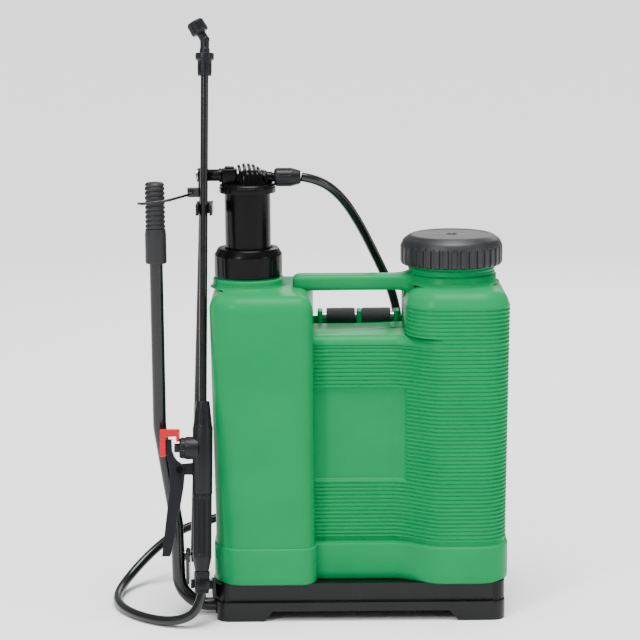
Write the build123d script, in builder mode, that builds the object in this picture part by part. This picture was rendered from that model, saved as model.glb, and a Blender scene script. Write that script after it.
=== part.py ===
"""A knapsack sprayer: a blow-moulded tank on a plastic base, a piston pump worked by a side lever,
and a spray lance with a trigger valve on a hose.

Millimetres. +Z is up, +X is the filler's side, -Y is the outer face and +Y the side against the
wearer's back. The origin is the middle of the tank's footprint, on the ground.
"""

import math
import os

from build123d import *

os.makedirs("parts", exist_ok=True)

# Tank and base
HALF_WIDTH = 192.0
HALF_DEPTH = 93.0
WALL = 3.0
SKIRT_PROUD = 2.5
BASE_TOP = 49.0
SKIRT_TOP = 97.0
SHELF_TOP = 368.0
TROUGH_TOP = 356.0
LEFT_TOP = 424.0
RIGHT_TOP = 428.0
LEFT_EDGE = -60.0
RIGHT_EDGE = 57.0
MIDDLE_FRONT = -62.0
MIDDLE_BACK = 76.0
TROUGH_FRONT = 30.0
FOOT_HEIGHT = 13.6
BASE_HALF_WIDTH = 187.0
BASE_LEDGE = 25.0

# Pump
PUMP_X = -143.0
TUBE_R = 29.5
BARREL_R = 31.5
NECK_TOP = 452.0
TUBE_TOP = 546.0
TUBE_BOTTOM = 250.0
ARM_Z = 568.0
SEAT_Z = 104.0
BALL_R = 7.0

# Filler
FILLER_X = 119.5
NECK_R = 55.5
MOUTH_R = 52.5
FILLER_TOP = 458.0
CAP_R = 66.0

# Lever and link
SHAFT_Y = -56.0
SHAFT_Z = 13.0
SHAFT_R = 8.5
SHAFT_END_X = -122.0
CRANK_R = 64.0
CRANK_ANGLE = 27.0
LEVER_X = -258.0
GRIP_LOW = 463.0
GRIP_TOP = 566.0
LINK_LOW_X = -219.0
EAR_X = -225.3
LINK_TOP_X = -200.5
PIN_R = 4.0
RUN_FIT = 0.05

# Lance: its axis runs from the hose nut's lower face to the upper nut's top face
LANCE_FOOT = Vector(-204.5, -112.5, 45.5)
LANCE_HEAD = Vector(-195.5, 10.9, 723.0)
LANCE_R = 5.0
GRIP_R = 12.2
VALVE_R = 12.9
PIVOT_U, PIVOT_S = -29.0, 157.6
PLUNGER_S = 185.0
BEND_S = 706.0
NOZZLE_TILT = 30.6

# Straps
STRAP_BAR_Y = 62.0
STRAP_BAR_Z = 372.5
STRAP_BAR_R = 5.0
WEBBING = 38.0
WEBBING_THICK = 2.5
PAD_WIDTH = 58.0
PAD_THICK = 12.0
STRAP_X = 23.5
PAD_X = 31.0
SPLAY = 28.0

# Hose
HOSE_R = 6.0
HOSE_UPPER = [
    (-73.2, 0, 565), (-50, 3, 561), (-22, 24, 537), (2, 52, 497), (24, 78, 450), (46, 92, 402),
    (56, 92, 352),
]
HOSE_LOWER = [
    (56, 92, 352), (55, 90, 294), (40, 87, 236), (4, 86, 186), (-48, 92, 147), (-102, 102, 117),
    (-155, 104, 96),
    (-205, 102, 82), (-248, 96, 69), (-285, 80, 42), (-313, 50, 17), (-325, 8, 6.6), (-318, -38, 6.2),
    (-294, -78, 6.2), (-258, -106, 6.2), (-228, -116, 11), (-209, -117, 25), tuple(LANCE_FOOT),
]


def save(builder, name):
    """Labels a finished piece and writes it as its own STEP file."""
    builder.part.label = name
    export_step(builder.part, f"parts/{name}.step")


def turned(outline, place=Plane.XY):
    """A piece turned about the place's z axis, from (radius, height) points."""
    with BuildPart() as body:
        with BuildSketch(Plane(place.origin, x_dir=place.x_dir, z_dir=-place.y_dir)):
            with BuildLine():
                Polyline(*outline, close=True)
            make_face()
        revolve(axis=Axis(place.origin, place.z_dir))
    return body


def ring(inner, outer, low, high, place=Plane.XY):
    """A plain ring or sleeve about the place's z axis."""
    return turned([(inner, low), (outer, low), (outer, high), (inner, high)], place)


def block(x, y, z, corner=0.0, crown=0.0):
    """An upright block with rounded corners in plan and, with a crown, a rounded top edge."""
    with BuildPart() as body:
        with BuildSketch(Plane.XY.offset(z[0])):
            with Locations(((x[0] + x[1]) / 2, (y[0] + y[1]) / 2)):
                if corner:
                    RectangleRounded(x[1] - x[0], y[1] - y[0], corner)
                else:
                    Rectangle(x[1] - x[0], y[1] - y[0])
        extrude(amount=z[1] - z[0])
        if crown:
            fillet(body.faces().sort_by(Axis.Z)[-1].edges(), crown)
    return body


def plate(outline, plane, thick):
    """A flat plate of the outline, centred on the plane."""
    with BuildPart() as body:
        with BuildSketch(plane):
            with BuildLine():
                Polyline(*outline, close=True)
            make_face()
        extrude(amount=thick / 2, both=True)
    return body


def upright(x, y, z=0.0):
    return Plane(origin=(x, y, z))


def along_x(x, y, z):
    """A place whose z axis points along +X."""
    return Plane(origin=(x, y, z), x_dir=(0, 1, 0), z_dir=(1, 0, 0))


def wire(points, radii, radius):
    """A round bar bent along the points."""
    with BuildPart() as body:
        with BuildLine() as path:
            if radii:
                FilletPolyline(*points, radius=radii)
            else:
                Polyline(*points)
        with BuildSketch(Plane(origin=path.line @ 0, z_dir=path.line % 0)):
            Circle(radius)
        sweep()
    return body


def arc_radii(points):
    """The radius of each corner: 0.45 of its shorter run over the tangent of half its turn."""
    radii = []
    for before, here, after in zip(points, points[1:], points[2:]):
        inward, outward = Vector(*here) - Vector(*before), Vector(*after) - Vector(*here)
        shorter = min(inward.length, outward.length)
        radii.append(0.45 * shorter / math.tan(math.radians(inward.get_angle(outward) / 2)))
    return radii


def hose(points, name):
    """A stretch of the hose, straight runs joined by tangent arcs."""
    radii = arc_radii(points)
    with BuildPart() as body:
        with BuildLine() as path:
            FilletPolyline(*points, radius=radii)
        with BuildSketch(Plane(origin=path.line @ 0, z_dir=path.line % 0)):
            Circle(HOSE_R)
        sweep()
    length = sum(edge.length for edge in path.edges())
    section = math.pi * HOSE_R**2
    print(name, "radii", [round(r) for r in radii], "length", round(length),
          "volume ratio", round(body.part.volume / (section * length), 4))
    save(body, name)


# ---- Tank: two tall columns joined by a lower middle, hollow, with two necks and a handle
left_x, right_x = (-HALF_WIDTH, LEFT_EDGE), (RIGHT_EDGE, HALF_WIDTH)
column_y = (-HALF_DEPTH, HALF_DEPTH)
skirt_y = (-HALF_DEPTH - SKIRT_PROUD, HALF_DEPTH)
tank_blocks = [
    (left_x, column_y, (BASE_TOP, LEFT_TOP), 40, 20),
    ((LEFT_EDGE - 90, LEFT_EDGE), column_y, (BASE_TOP, LEFT_TOP), 21, 20),
    (right_x, column_y, (BASE_TOP, RIGHT_TOP), 40, 24),
    ((LEFT_EDGE - 28, RIGHT_EDGE + 28), (MIDDLE_FRONT, TROUGH_FRONT), (BASE_TOP, SHELF_TOP), 4, 3.5),
    ((LEFT_EDGE - 28, RIGHT_EDGE + 28), (MIDDLE_FRONT, MIDDLE_BACK), (BASE_TOP, TROUGH_TOP), 4, 3.5),
    ((-HALF_WIDTH - SKIRT_PROUD, LEFT_EDGE), skirt_y, (BASE_TOP, SKIRT_TOP), 30, 3),
    ((RIGHT_EDGE, HALF_WIDTH + SKIRT_PROUD), skirt_y, (BASE_TOP, SKIRT_TOP), 30, 3),
    ((LEFT_EDGE - 30, RIGHT_EDGE + 30), (MIDDLE_FRONT - 8, MIDDLE_BACK), (BASE_TOP, SKIRT_TOP), 4, 3),
]
solid_blocks = [block(*sizes) for sizes in tank_blocks]
hollow_blocks = [
    block(
        (x[0] + WALL, x[1] - WALL), (y[0] + WALL, y[1] - WALL), (z[0] + WALL, z[1] - WALL),
        max(corner - WALL, 1.0), max(crown - WALL, 0.4),
    )
    for x, y, z, corner, crown in tank_blocks[:5]
]
rear_rim = block((LEFT_EDGE - 5, RIGHT_EDGE + 5), (73.4, MIDDLE_BACK), (350, 370.5))
handle = block((-80, 64), (-20, 8), (419, 440), 6, 5)
pump_neck = ring(0, 41, 420, NECK_TOP, upright(PUMP_X, 0))
filler_neck = turned([(0, 410), (58, 410), (58, 440), (NECK_R, 443), (NECK_R, FILLER_TOP), (0, FILLER_TOP)],
                     upright(FILLER_X, 0))
bar_lugs = [block((x - 3.5, x + 3.5), (50, 73.4), (350, 381), 3) for x in (-51.0, 1.0, 50.5)]
boss_places = [(x, y) for x in (-165, 165) for y in (-62, 62)]
with BuildPart() as tank:
    for piece in solid_blocks + [handle, pump_neck, filler_neck, rear_rim]:
        add(piece.part)
    for piece in hollow_blocks:
        add(piece.part, mode=Mode.SUBTRACT)
    with BuildSketch(Plane.XY.offset(BASE_TOP)):
        with Locations(*boss_places):
            Circle(9)
    extrude(amount=14)
    with BuildSketch(Plane.XY.offset(BASE_TOP)):
        with Locations(*boss_places):
            Circle(2.7)
    extrude(amount=11, mode=Mode.SUBTRACT)
    with BuildSketch(Plane.XY.offset(415)):
        with Locations((PUMP_X, 0)):
            Circle(37)
    extrude(amount=60, mode=Mode.SUBTRACT)
    with BuildSketch(Plane.XY.offset(405)):
        with Locations((FILLER_X, 0)):
            Circle(MOUTH_R)
    extrude(amount=60, mode=Mode.SUBTRACT)

# The tank is one moulding. Its columns, middle and handle are saved apart, so that each keeps its hollow.
tank_shares = {
    "tank_left": block((-200, LEFT_EDGE), (-100, 100), (0, 470)),
    "tank_middle": block((LEFT_EDGE, RIGHT_EDGE), (-100, 100), (0, 400)),
    "tank_handle": block((LEFT_EDGE, RIGHT_EDGE), (-100, 100), (400, 470)),
    "tank_right": block((RIGHT_EDGE, 200), (-100, 100), (0, 470)),
}
for name, share in tank_shares.items():
    with BuildPart() as tank_share:
        add(tank.part)
        add(share.part, mode=Mode.INTERSECT)
    save(tank_share, name)

with BuildPart() as strap_bar_lugs:
    for piece in bar_lugs:
        add(piece.part)
    with BuildSketch(Plane.YZ.offset(-60)):
        with Locations((STRAP_BAR_Y, STRAP_BAR_Z)):
            Circle(STRAP_BAR_R + 0.1)
    extrude(amount=120, mode=Mode.SUBTRACT)
    for x, y, z in ((left_x, column_y, (BASE_TOP, LEFT_TOP)), (right_x, column_y, (BASE_TOP, RIGHT_TOP)),
                    ((-90, 90), (MIDDLE_FRONT, TROUGH_FRONT), (BASE_TOP, SHELF_TOP)),
                    ((-90, 90), (MIDDLE_FRONT, MIDDLE_BACK), (BASE_TOP, TROUGH_TOP))):
        add(block(x, y, z).part, mode=Mode.SUBTRACT)
save(strap_bar_lugs, "strap_bar_lugs")

# ---- Base: an open-bottomed tray with a foot at each end
base_lower = block((-BASE_HALF_WIDTH, BASE_HALF_WIDTH - 2), column_y, (0, BASE_LEDGE), 16)
base_upper = block((-BASE_HALF_WIDTH, BASE_HALF_WIDTH - 2), (-HALF_DEPTH + 6, HALF_DEPTH), (0, BASE_TOP), 16)
base_hollow = block(
    (-BASE_HALF_WIDTH + WALL, BASE_HALF_WIDTH - 2 - WALL), (-HALF_DEPTH + 6 + WALL, HALF_DEPTH - WALL),
    (-1, BASE_TOP - WALL), 13,
)
foot_gap = plate(
    [(-127, -1), (-115, FOOT_HEIGHT), (113, FOOT_HEIGHT), (126, -1)], Plane.XZ.offset(HALF_DEPTH - 3), 30
)
shaft_rib = block((-140, -134), (-HALF_DEPTH + 8, HALF_DEPTH - 2), (1, BASE_TOP - 1))
strap_tabs = [block((x - 24, x + 24), (HALF_DEPTH - 1, HALF_DEPTH + 9), (27, 36), 2) for x in (-91, 91)]
with BuildPart() as base:
    add(base_lower.part)
    add(base_upper.part)
    add(base_hollow.part, mode=Mode.SUBTRACT)
    add(shaft_rib.part)
    add(foot_gap.part, mode=Mode.SUBTRACT)
    for tab in strap_tabs:
        add(tab.part)
    with BuildSketch(Plane.XY.offset(BASE_TOP - 5)):
        with Locations(*boss_places):
            Circle(2.7)
    extrude(amount=6, mode=Mode.SUBTRACT)
    with BuildSketch(Plane.YZ.offset(-BASE_HALF_WIDTH - 5)):
        with Locations((SHAFT_Y, SHAFT_Z)):
            Circle(11.1)
    extrude(amount=60, mode=Mode.SUBTRACT)

# The base is one moulding too, saved as its two ends
base_shares = {
    "base_left": block((-200, -20), (-110, 110), (-1, 60)),
    "base_right": block((-20, 200), (-110, 110), (-1, 60)),
}
for name, share in base_shares.items():
    with BuildPart() as base_share:
        add(base.part)
        add(share.part, mode=Mode.INTERSECT)
    save(base_share, name)

with BuildPart() as base_screws:
    with BuildSketch(Plane.XY.offset(BASE_TOP - WALL)):
        with Locations(*boss_places):
            Circle(2.5)
    extrude(amount=12)
    with BuildSketch(Plane.XY.offset(BASE_TOP - WALL - 3.5)):
        with Locations(*boss_places):
            Circle(5)
    extrude(amount=3.5)
save(base_screws, "base_screws")

bush_bore = SHAFT_R + RUN_FIT
save(
    turned([(bush_bore, -2.5), (12.6, -2.5), (12.6, 0), (11, 0), (11, 7), (bush_bore, 7)],
           along_x(-BASE_HALF_WIDTH, SHAFT_Y, SHAFT_Z)),
    "shaft_bush_outer",
)
save(
    turned([(bush_bore, -1.5), (12.6, -1.5), (12.6, 0.9), (11, 0.9), (11, 8), (bush_bore, 8)],
           along_x(-141, SHAFT_Y, SHAFT_Z)),
    "shaft_bush_inner",
)

# ---- Pump: the barrel hangs in the tank, and the air chamber slides up and down in it
pump = upright(PUMP_X, 0)
save(
    turned(
        [(BARREL_R, 112), (34.5, 112), (34.5, NECK_TOP), (40.5, NECK_TOP), (40.5, NECK_TOP + 3),
         (BARREL_R, NECK_TOP + 3)],
        pump,
    ),
    "pump_barrel",
)
save(
    turned(
        [(34.7, 118), (34.7, 111.8), (4, 111.8), (4, SEAT_Z), (9, SEAT_Z - 2), (9, 90), (13, 90), (13, 100),
         (37.5, 104), (37.5, 118)],
        pump,
    ),
    "foot_valve_seat",
)
with BuildPart() as foot_valve_ball:
    with Locations((PUMP_X, 0, 111.8 + math.sqrt(BALL_R**2 - 16) + 0.05)):
        Sphere(BALL_R)
save(foot_valve_ball, "foot_valve_ball")
strainer_shell = turned([(13.2, 70), (13.2, 99.9), (15, 99.9), (15, 68), (0, 68), (0, 70)], pump)
with BuildPart() as suction_strainer:
    add(strainer_shell.part)
    with BuildSketch(Plane.XY.offset(74)):
        with Locations((PUMP_X, 0)):
            with PolarLocations(14, 10):
                Rectangle(5, 2.4)
    extrude(amount=20, mode=Mode.SUBTRACT)
save(suction_strainer, "suction_strainer")
save(ring(30.3, 40.5, NECK_TOP + 3, NECK_TOP + 5, pump), "neck_gasket")
save(
    turned(
        [(41.3, 438), (43.6, 438), (43.6, 466), (39, 474.5), (30.3, 474.5), (30.3, 470), (36, 468),
         (36, NECK_TOP + 5), (41.3, NECK_TOP + 5)],
        pump,
    ),
    "ring_nut",
)
save(ring(26.5, TUBE_R, TUBE_BOTTOM, TUBE_TOP, pump), "air_chamber_tube")
save(
    turned(
        [(3.5, 236), (BARREL_R - RUN_FIT, 236), (BARREL_R - RUN_FIT, 240), (27.5, 240), (27.5, 246),
         (BARREL_R - RUN_FIT, 246), (BARREL_R - RUN_FIT, TUBE_BOTTOM), (3.5, TUBE_BOTTOM)],
        pump,
    ),
    "piston",
)
save(ring(27.6, BARREL_R - 0.1, 240.2, 245.8, pump), "piston_cup_seal")
with BuildPart() as outlet_valve_ball:
    with Locations((PUMP_X, 0, TUBE_BOTTOM + math.sqrt(36 - 3.5**2) + 0.05)):
        Sphere(6)
save(outlet_valve_ball, "outlet_valve_ball")
save(ring(3, 4.5, 275, TUBE_TOP, upright(-128, 0)), "dip_tube")

# ---- Air chamber's cap: a flange, a finned dome over the outlet and a post for the cross arm
cap_flange = turned(
    [(0, TUBE_TOP), (36.4, TUBE_TOP), (36.4, TUBE_TOP + 8), (33, TUBE_TOP + 10), (0, TUBE_TOP + 10)], pump
)
cap_dome = block((-152, -119), (-15, 15), (TUBE_TOP + 8, 565), 5)
cap_post = block((-176, -156), (-9, 9), (TUBE_TOP + 8, 576.5), 3, 2)
cap_pad = block((-172, -159.5), (-6, 6), (575, 579.3), 2)
spigot = turned([(0, 0), (7.3, 0), (7.3, 9), (6, 9), (6, 24), (0, 24)], along_x(-119.5, 0, 565))
fins = [
    plate([(-16, 561), (16, 561), (16, 568), (8, top), (-8, top), (-16, 568)], Plane.YZ.offset(x), 2.6)
    for x, top in zip((-149.5, -144, -138.5, -133, -127.5, -122), (582, 583, 583, 582, 579, 575))
]
with BuildPart() as air_chamber_cap:
    for piece in [cap_flange, cap_dome, cap_post, cap_pad, spigot] + fins:
        add(piece.part)
    with BuildSketch(Plane.YZ.offset(-119.5)):
        with Locations((0, 565)):
            Circle(3.5)
    extrude(amount=30, mode=Mode.SUBTRACT)
save(air_chamber_cap, "air_chamber_cap")
save(
    turned(
        [(0, -33), (PIN_R, -33), (PIN_R, -17.5), (7.7, -17.5), (7.7, -3), (9, -3), (9, 0), (0, 0)],
        along_x(-176, 0, ARM_Z),
    ),
    "cross_arm",
)
save(
    turned([(7.5, 0), (9.3, 0), (12, 3), (12, 22), (8.5, 34), (0, 34), (0, 13.2), (7.5, 13.2)],
           along_x(-108.5, 0, 565)),
    "upper_hose_nut",
)
save(ring(PIN_R + 0.1, 8.5, -31.8, -30.3, along_x(-176, 0, ARM_Z)), "link_washer")

# ---- Lever: a bent steel bar that turns in the base, with a crank ear and a rubber grip
lever_bar = wire(
    [(SHAFT_END_X, SHAFT_Y, SHAFT_Z), (-236.5, SHAFT_Y, SHAFT_Z), (-238.5, SHAFT_Y, 120),
     (LEVER_X, SHAFT_Y, 250), (LEVER_X, SHAFT_Y, GRIP_TOP - 6)],
    [40, 70, 90], SHAFT_R,
)
save(lever_bar, "lever_bar")
crank_y = SHAFT_Y + CRANK_R * math.sin(math.radians(CRANK_ANGLE))
crank_z = SHAFT_Z + CRANK_R * math.cos(math.radians(CRANK_ANGLE))
ear_plane = Plane.YZ.offset(EAR_X)
with BuildPart() as crank_ear:
    with BuildSketch(ear_plane):
        with BuildLine():
            Polyline((SHAFT_Y - 9, 40), (SHAFT_Y - 9, 84), (SHAFT_Y + 4, 88), (crank_y, crank_z + 9),
                     (crank_y + 9, crank_z), (crank_y, crank_z - 9), (SHAFT_Y + 4, 46), close=True)
        make_face()
        fillet(vertices(), 3)
        with Locations((crank_y, crank_z)):
            Circle(PIN_R + RUN_FIT, mode=Mode.SUBTRACT)
    extrude(amount=2, both=True)
save(crank_ear, "crank_ear")
save(
    turned([(0, 0), (7, 0), (7, 3.5), (PIN_R, 3.5), (PIN_R, 7.5), (0, 7.5)],
           along_x(EAR_X - 5.6, crank_y, crank_z)),
    "crank_bolt",
)
save(
    turned(
        [(SHAFT_R, GRIP_LOW), (13.5, GRIP_LOW), (13.5, GRIP_LOW + 40), (12.6, GRIP_LOW + 44),
         (12.6, GRIP_TOP - 3), (10, GRIP_TOP), (0, GRIP_TOP), (0, GRIP_TOP - 6), (SHAFT_R, GRIP_TOP - 6)],
        upright(LEVER_X, SHAFT_Y),
    ),
    "lever_grip",
)
save(ring(PIN_R - 1.2, SHAFT_R - 1, 0.2, 2.2, along_x(SHAFT_END_X, SHAFT_Y, SHAFT_Z)), "shaft_end_washer")

# ---- Link: joins the crank to the cross arm, and carries the lance clip and the lever's bail
link_low = Vector(LINK_LOW_X, crank_y, crank_z)
link_head = block((-206, -194.5), (-7, 7), (541, 577), 3)
link_lug = block((-220, -204), (-10, 4), (541, 552), 2)
link_rod = wire([(LINK_TOP_X - 0.5, 0, 543), (LINK_LOW_X, crank_y - 1, crank_z + 14), tuple(link_low)],
                [40], 4)
link_eye = ring(0, 9, -3.2, 3.2, along_x(*link_low))
with BuildPart() as link:
    for piece in (link_head, link_lug, link_rod, link_eye):
        add(piece.part)
    with BuildSketch(Plane.YZ.offset(-207)):
        with Locations((0, ARM_Z)):
            Circle(PIN_R + RUN_FIT)
    extrude(amount=14, mode=Mode.SUBTRACT)
    with BuildSketch(Plane.XZ.offset(-6)):
        with Locations((-214, 547)):
            Circle(1.75 + RUN_FIT)
    extrude(amount=18, mode=Mode.SUBTRACT)
save(link, "link_rod")
clip_x = -197.8
with BuildPart() as lance_clip:
    with BuildSketch(Plane.XY.offset(520)):
        with Locations((clip_x, -12.5)):
            Rectangle(21, 41)
        with Locations((clip_x, -23)):
            Rectangle(14, 27, mode=Mode.SUBTRACT)
        with Locations((clip_x - 3.6, -1)):
            Circle(5.2, mode=Mode.SUBTRACT)
    extrude(amount=14)
save(lance_clip, "lance_clip")
save(
    wire([(-214, 3.5, 547), (-214, -24, 547), (-240, -75, 545), (-272, -75, 541), (-278, -64, 540)],
         [8, 12, 6], 1.75),
    "lever_bail",
)

# ---- Filler: a strainer basket under a screw cap with a breather
filler = upright(FILLER_X, 0)
save(ring(0, 50, 362, 364, filler), "strainer_floor")
save(ring(49.6, 54.5, FILLER_TOP, FILLER_TOP + 2, filler), "strainer_rim")
basket_wall = turned([(48, 364), (50, 364), (51.5, FILLER_TOP), (49.6, FILLER_TOP)], filler)
with BuildPart() as strainer_basket:
    add(basket_wall.part)
    for level in (372, 398):
        with BuildSketch(Plane.XY.offset(level)):
            with Locations((FILLER_X, 0)):
                with PolarLocations(49.5, 12):
                    Rectangle(10, 15)
        extrude(amount=20, mode=Mode.SUBTRACT)
save(strainer_basket, "strainer_basket")
save(ring(49.5, 55, FILLER_TOP + 2, FILLER_TOP + 5, filler), "filler_gasket")
save(
    turned(
        [(57, 452), (64.5, 452), (CAP_R, 456), (CAP_R, 476), (62, 484), (54, 489), (48, 491), (40, 489.5),
         (6.1, 490), (6.1, 483), (46, 482), (46, FILLER_TOP + 5), (57, FILLER_TOP + 5)],
        filler,
    ),
    "filler_cap",
)
save(turned([(0, 484), (6, 484), (6, 487.5), (3, 488.5), (0, 488.5)], filler), "cap_breather")

# ---- Lance: everything on its axis is placed by the distance s from the hose nut's lower face
lance_axis = (LANCE_HEAD - LANCE_FOOT).normalized()
lance = Plane(origin=LANCE_FOOT, x_dir=Vector(1, 0, 0) - lance_axis * lance_axis.X, z_dir=lance_axis)
lance_face = Plane(lance.origin, x_dir=lance.x_dir, z_dir=-lance.y_dir)


def across_lance(u, s):
    """A place on the valve whose z axis points away from the lance, towards the trigger."""
    return Plane(origin=lance.from_local_coords((u, 0, s)), x_dir=lance.z_dir, z_dir=-lance.x_dir)


def trigger_side(outline, thick, hole=None, slot=None):
    """A plate beside the lance from (u, s) points, with a pin hole and a slot through it if asked."""
    with BuildPart() as body:
        with BuildSketch(lance_face):
            with BuildLine():
                Polyline(*outline, close=True)
            make_face()
            if hole:
                with Locations(hole[:2]):
                    Circle(hole[2], mode=Mode.SUBTRACT)
        extrude(amount=thick / 2, both=True)
        if slot:
            with BuildSketch(lance_face):
                with Locations(slot[:2]):
                    Rectangle(slot[2], slot[3])
            extrude(amount=slot[4] / 2, both=True, mode=Mode.SUBTRACT)
    return body


save(turned([(0, 0), (8.9, 0), (10.1, 24), (10.1, 28), (0, 28)], lance), "lower_hose_nut")
save(turned([(0, 28), (8.6, 28), (9.7, 33), (GRIP_R, 46), (GRIP_R, 127), (0, 127)], lance), "lance_grip")
valve_barrel = turned([(0, 127), (12.8, 127), (12.8, 147), (VALVE_R, 147), (VALVE_R, 212), (0, 212)], lance)
plunger_place = across_lance(0, PLUNGER_S)
valve_boss = turned([(0, 5), (14.6, 5), (14.6, 21.5), (6.05, 21.5), (6.05, 6), (0, 6)], plunger_place)
plunger_bore = ring(0, 6.05, 6, 36, plunger_place)
pivot_lug = trigger_side(
    [(-8, 149), (-14, 151), (PIVOT_U - 3, 151), (PIVOT_U - 6, PIVOT_S), (PIVOT_U - 3, 164), (-14, 166),
     (-8, 167)],
    7, hole=(PIVOT_U, PIVOT_S, 2.5 + RUN_FIT),
)
with BuildPart() as valve_body:
    add(valve_barrel.part)
    add(valve_boss.part)
    add(plunger_bore.part, mode=Mode.SUBTRACT)
    add(pivot_lug.part)
save(valve_body, "valve_body")
save(turned([(6.2, 21.5), (13.5, 21.5), (13.5, 27), (12, 29.4), (6.2, 29.4)], plunger_place),
     "valve_boss_cap")
save(turned([(0, 16), (6, 16), (6, 18), (5.6, 20), (5.6, 36.1), (0, 36.1)], plunger_place),
     "valve_plunger")
save(ring(3.4, 5.2, 6.2, 15.8, plunger_place), "plunger_spring")
save(
    turned([(LANCE_R + 0.1, 212), (12.4, 212), (11.6, 218), (11.4, 220), (8.6, 245), (LANCE_R + 0.1, 245)],
           lance),
    "valve_top_nut",
)
save(ring(3.2, LANCE_R, 212, 672, lance), "lance_tube")
save(
    turned(
        [(LANCE_R + 0.1, 660), (8.8, 660), (9.2, 666), (9.2, 679), (12, 681), (12, 688.8),
         (LANCE_R + 0.1, 688.8)],
        lance,
    ),
    "lance_top_nut",
)
nozzle_origin = lance.from_local_coords((0, 0, BEND_S))
nozzle_dir = lance.z_dir.rotate(Axis((0, 0, 0), lance.y_dir), -NOZZLE_TILT)
nozzle = Plane(origin=nozzle_origin, x_dir=lance.y_dir, z_dir=nozzle_dir)
elbow_low = ring(0, 4.9, 672, 689, lance)
elbow_turn = turned([(0, 689), (6.6, 689), (6.6, 694), (5.8, 696), (5.8, BEND_S), (0, BEND_S)], lance)
elbow_arm = turned([(0, 0), (5.8, 0), (5.8, 12), (0, 12)], nozzle)
with BuildPart() as lance_elbow:
    for piece in (elbow_low, elbow_turn, elbow_arm):
        add(piece.part)
    with Locations(nozzle_origin):
        Sphere(6.3)
save(lance_elbow, "lance_elbow")
save(ring(0, 4.6, 12, 24, nozzle), "swirl_insert")
save(
    turned(
        [(5.9, 10), (10.6, 10), (11.6, 12), (11.2, 25), (9.5, 27), (1.2, 27), (1.2, 24.1), (4.8, 24.1),
         (4.8, 12.2), (5.9, 12.2)],
        nozzle,
    ),
    "nozzle_cap",
)

# ---- Trigger, its pin and the locking latch
save(
    trigger_side(
        [(-39.6, 196), (-46, 196), (-46, 178), (-43, 166), (-41.2, 152), (-41.8, 130), (-45.6, 95),
         (-50.7, 47), (-40.3, 47), (-37.4, 62), (-28.4, 109), (-24.2, 134), (-22.5, 154), (-23.6, 162.4),
         (-28, 165.4), (-32.8, 169), (-36, 174), (-38.8, 181)],
        13, hole=(PIVOT_U, PIVOT_S, 2.5 + RUN_FIT), slot=(-27, 158, 34, 26, 7.8),
    ),
    "trigger",
)
pivot_middle = lance.from_local_coords((PIVOT_U, 0, PIVOT_S))
pivot_place = Plane(origin=pivot_middle, x_dir=lance.x_dir, z_dir=lance.y_dir)
save(turned([(0, -8.5), (4.3, -8.5), (4.3, -6.7), (2.5, -6.7), (2.5, 8.2), (0, 8.2)], pivot_place),
     "trigger_pin")
latch_sides = trigger_side(
    [(-54, 174), (-46.5, 174), (-46.5, 199), (-33.5, 200), (-33.5, 193.4), (-29.5, 193.4), (-29.5, 209),
     (-54, 209)],
    18.5,
)
latch_room = trigger_side([(-50.5, 170), (-42, 170), (-42, 198), (-50.5, 198)], 13.8)
with BuildPart() as trigger_latch:
    add(latch_sides.part)
    add(latch_room.part, mode=Mode.SUBTRACT)
save(trigger_latch, "trigger_latch")

# ---- Lance holder on the base
holder_plate = plate(
    [(-34, 28), (-80, 28), (-103, 48), (-103, 61), (-96, 61), (-84, 46), (-34, 46)],
    Plane.YZ.offset(-189.7), 5,
)
holder_ring = ring(10.9, 14, 6, 17, lance)
holder_bore = ring(0, 10.9, -3, 27, lance)
mouth_middle = Plane(lance_face.from_local_coords((0, 0, 6)), x_dir=lance_face.x_dir, z_dir=lance_face.z_dir)
holder_mouth = plate([(-24, 1), (0, 1), (0, 21), (-24, 21)], mouth_middle, 12)
with BuildPart() as lance_holder:
    add(holder_plate.part)
    add(holder_ring.part)
    add(holder_mouth.part, mode=Mode.SUBTRACT)
    add(holder_bore.part, mode=Mode.SUBTRACT)
save(lance_holder, "lance_holder")

# ---- Straps: each loops over the bar behind the handle and hangs down the back to a hook
save(turned([(0, -51), (STRAP_BAR_R, -51), (STRAP_BAR_R, 51), (0, 51)], along_x(0, STRAP_BAR_Y, STRAP_BAR_Z)),
     "strap_bar")


def band(points, plane, width, thick, radii):
    """A flat band of the given width along a bent line in the plane."""
    with BuildPart() as body:
        with BuildSketch(plane):
            with BuildLine():
                FilletPolyline(*points, radius=radii)
                offset(amount=thick / 2, side=Side.BOTH)
            make_face()
        extrude(amount=width / 2, both=True)
    return body


for side, word in ((-1, "left"), (1, "right")):
    middle = Plane.YZ.offset(side * STRAP_X)
    over_bar = along_x(side * STRAP_X, STRAP_BAR_Y, STRAP_BAR_Z)
    save(ring(STRAP_BAR_R + 0.4, 10.8, -WEBBING / 2, WEBBING / 2, over_bar), f"strap_loop_{word}")
    save(band([(75.5, 374), (92, 366), (112, 322), (122, 262)], middle, WEBBING, WEBBING_THICK, [10, 60]),
         f"strap_web_upper_{word}")
    pad_line = [(123, 250), (128, 212), (125.5, 177)]
    save(band(pad_line, Plane.YZ.offset(side * PAD_X), PAD_WIDTH, PAD_THICK, [150]),
         f"shoulder_pad_{word}")
    slant = Plane(origin=(side * STRAP_X, 0, 165), x_dir=(0, 1, 0),
                  z_dir=(math.cos(math.radians(SPLAY)), 0, side * math.sin(math.radians(SPLAY))))
    save(band([(125, -7), (120, -70), (105.5, -139)], slant, WEBBING, WEBBING_THICK, [150]),
         f"strap_web_lower_{word}")

hose(HOSE_UPPER, "hose_upper")
hose(HOSE_LOWER, "hose_lower")
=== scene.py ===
"""The knapsack sprayer's looks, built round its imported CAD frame.

Outlines and routes are in millimetres and scaled by MM as each mesh is made. +Z is up, +X is the filler's
side and -Y the outer face.
"""

import math

import bmesh
import bpy
from mathutils import Matrix, Vector


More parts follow.
